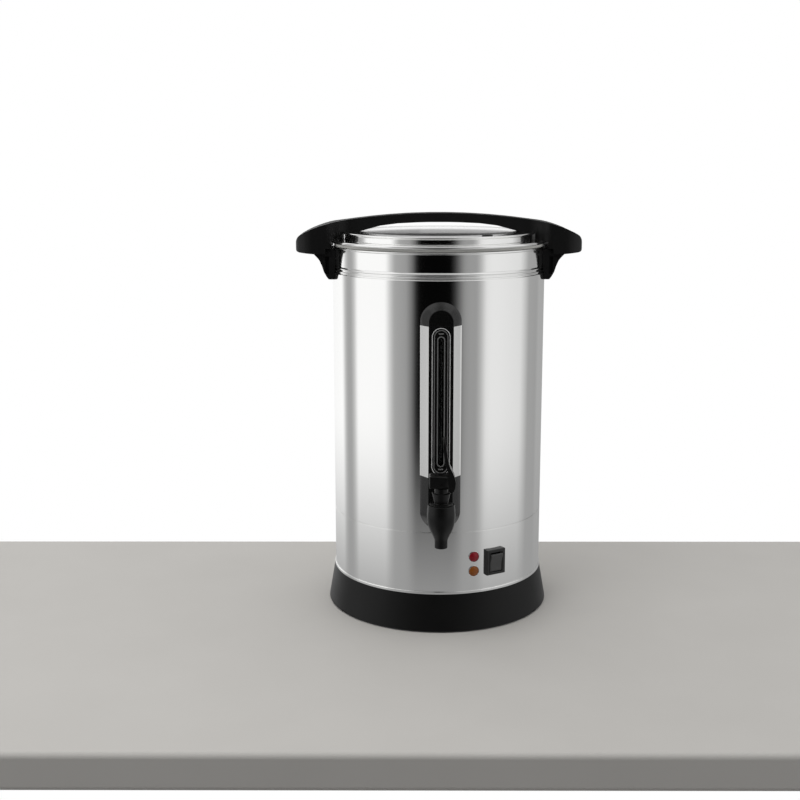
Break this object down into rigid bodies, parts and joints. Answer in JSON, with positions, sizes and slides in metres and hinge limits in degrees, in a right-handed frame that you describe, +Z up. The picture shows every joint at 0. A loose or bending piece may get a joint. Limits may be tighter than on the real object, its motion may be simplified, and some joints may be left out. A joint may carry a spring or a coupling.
{
  "type": "coffee urn",
  "caption": "Double-walled steel coffee urn with black base, lift-off lid with arched handle, sight gauge, lever tap, lamps and rocker switch.",
  "frame": {"origin": "on the table plane, at the axis of the round body, centre of the circle of the four rubber feet", "axes": "+Z up along the body's axis, -Y is the front with the gauge and the tap, +X is the viewer's right with the lamps and the switch"},
  "size_m": [0.3484, 0.3298, 0.4892],
  "materials": {
    "polished_steel": "polished stainless steel",
    "plain_steel": "plain stainless steel",
    "aluminium": "cast",
    "brass": "bare",
    "black_plastic": "satin moulded",
    "black_phenolic": "satin heat-proof moulding",
    "gloss_black": "glossy moulded",
    "grey_plastic": "satin",
    "red_lens": "clear-coloured lens",
    "amber_lens": "clear-coloured lens",
    "wire_sleeve": "silicone-sleeved",
    "rubber": "matt",
    "silicone": "matt food-grade silicone",
    "glass": "clear"
  },
  "bodies": {
    "urn": {"base_ring": "black_plastic", "base_plate": "plain_steel", "base_screws": "plain_steel", "rubber_feet": "rubber", "trim_ring": "polished_steel", "lower_band": "polished_steel", "jacket": "polished_steel", "collar": "polished_steel", "tank": "polished_steel", "tank_studs": "plain_steel", "stud_nuts": "plain_steel", "bracket_left": "black_phenolic", "bracket_right": "black_phenolic", "bracket_screws": "plain_steel", "heater_plate": "aluminium", "heater_tube": "plain_steel", "boil_thermostat": "brass", "warm_thermostat": "brass", "thermal_cutout": "brass", "gauge_top_cap": "gloss_black", "gauge_bottom_cap": "gloss_black", "gauge_panel": "gloss_black", "gauge_strip_left": "polished_steel", "gauge_strip_right": "polished_steel", "sight_tube": "glass", "gauge_fittings": "black_plastic", "fitting_nuts": "plain_steel", "tap_body": "gloss_black", "tap_nut": "plain_steel", "tap_washers": "silicone", "tap_bonnet": "gloss_black", "lamp_red": "red_lens", "lamp_amber": "amber_lens", "lamp_bezels": "polished_steel", "switch_frame": "black_plastic", "power_inlet": "black_plastic", "inlet_pins": "brass", "inlet_screws": "plain_steel", "wiring": "wire_sleeve", "brew_foot": "plain_steel", "brew_tube": "plain_steel", "coffee_basket": "plain_steel", "basket_lid": "plain_steel"},
    "seal": {"lid_seal": "silicone"},
    "lid": {"lid_pan": "polished_steel", "lid_handle": "black_phenolic", "handle_screws": "plain_steel", "lid_vent": "black_plastic"},
    "valve": {"tap_seat_cup": "silicone", "tap_spring": "plain_steel"},
    "stem": {"tap_stem": "plain_steel", "lever_pin": "plain_steel"},
    "lever": {"tap_lever": "gloss_black"},
    "rocker": {"switch_rocker": "grey_plastic"},
    "brew_valve": {"brew_valve": "plain_steel"}
  },
  "joints": [
    {"name": "lid_lift", "type": "slide", "parent": "urn", "child": "seal", "axis": [0, 0, 1], "range_m": [0, 0.14]},
    {"name": "lid_turn", "type": "hinge", "parent": "seal", "child": "lid", "pos_m": [0, 0, 0.4536], "axis": [0, 0, 1], "range_deg": [0, 30]},
    {"name": "valve_lift", "type": "slide", "parent": "urn", "child": "valve", "axis": [0, 0, 1], "range_m": [0, 0.0042], "deforming": ["tap_spring"]},
    {"name": "lever_swivel", "type": "hinge", "parent": "valve", "child": "stem", "pos_m": [0, -0.175, 0.175], "axis": [0, 0, 1], "range_deg": [-180, 0]},
    {"name": "lever_tilt", "type": "hinge", "parent": "stem", "child": "lever", "pos_m": [0, -0.175, 0.195], "axis": [0, 1, 0], "range_deg": [0, 20], "stiffness_Nm_per_rad": 0.1, "springref_deg": -17.19},
    {"name": "rocker_press", "type": "hinge", "parent": "urn", "child": "rocker", "pos_m": [0.06483, -0.11095, 0.0814], "axis": [0.8634, 0.5045, 0], "range_deg": [-16, 0]},
    {"name": "brew_valve_lift", "type": "slide", "parent": "urn", "child": "brew_valve", "axis": [0, 0, 1], "range_m": [0, 0.003]}
  ],
  "couplings": [
    {"joint": "valve_lift", "follows": "lever_tilt", "m_per_rad": 0.01146}
  ]
}
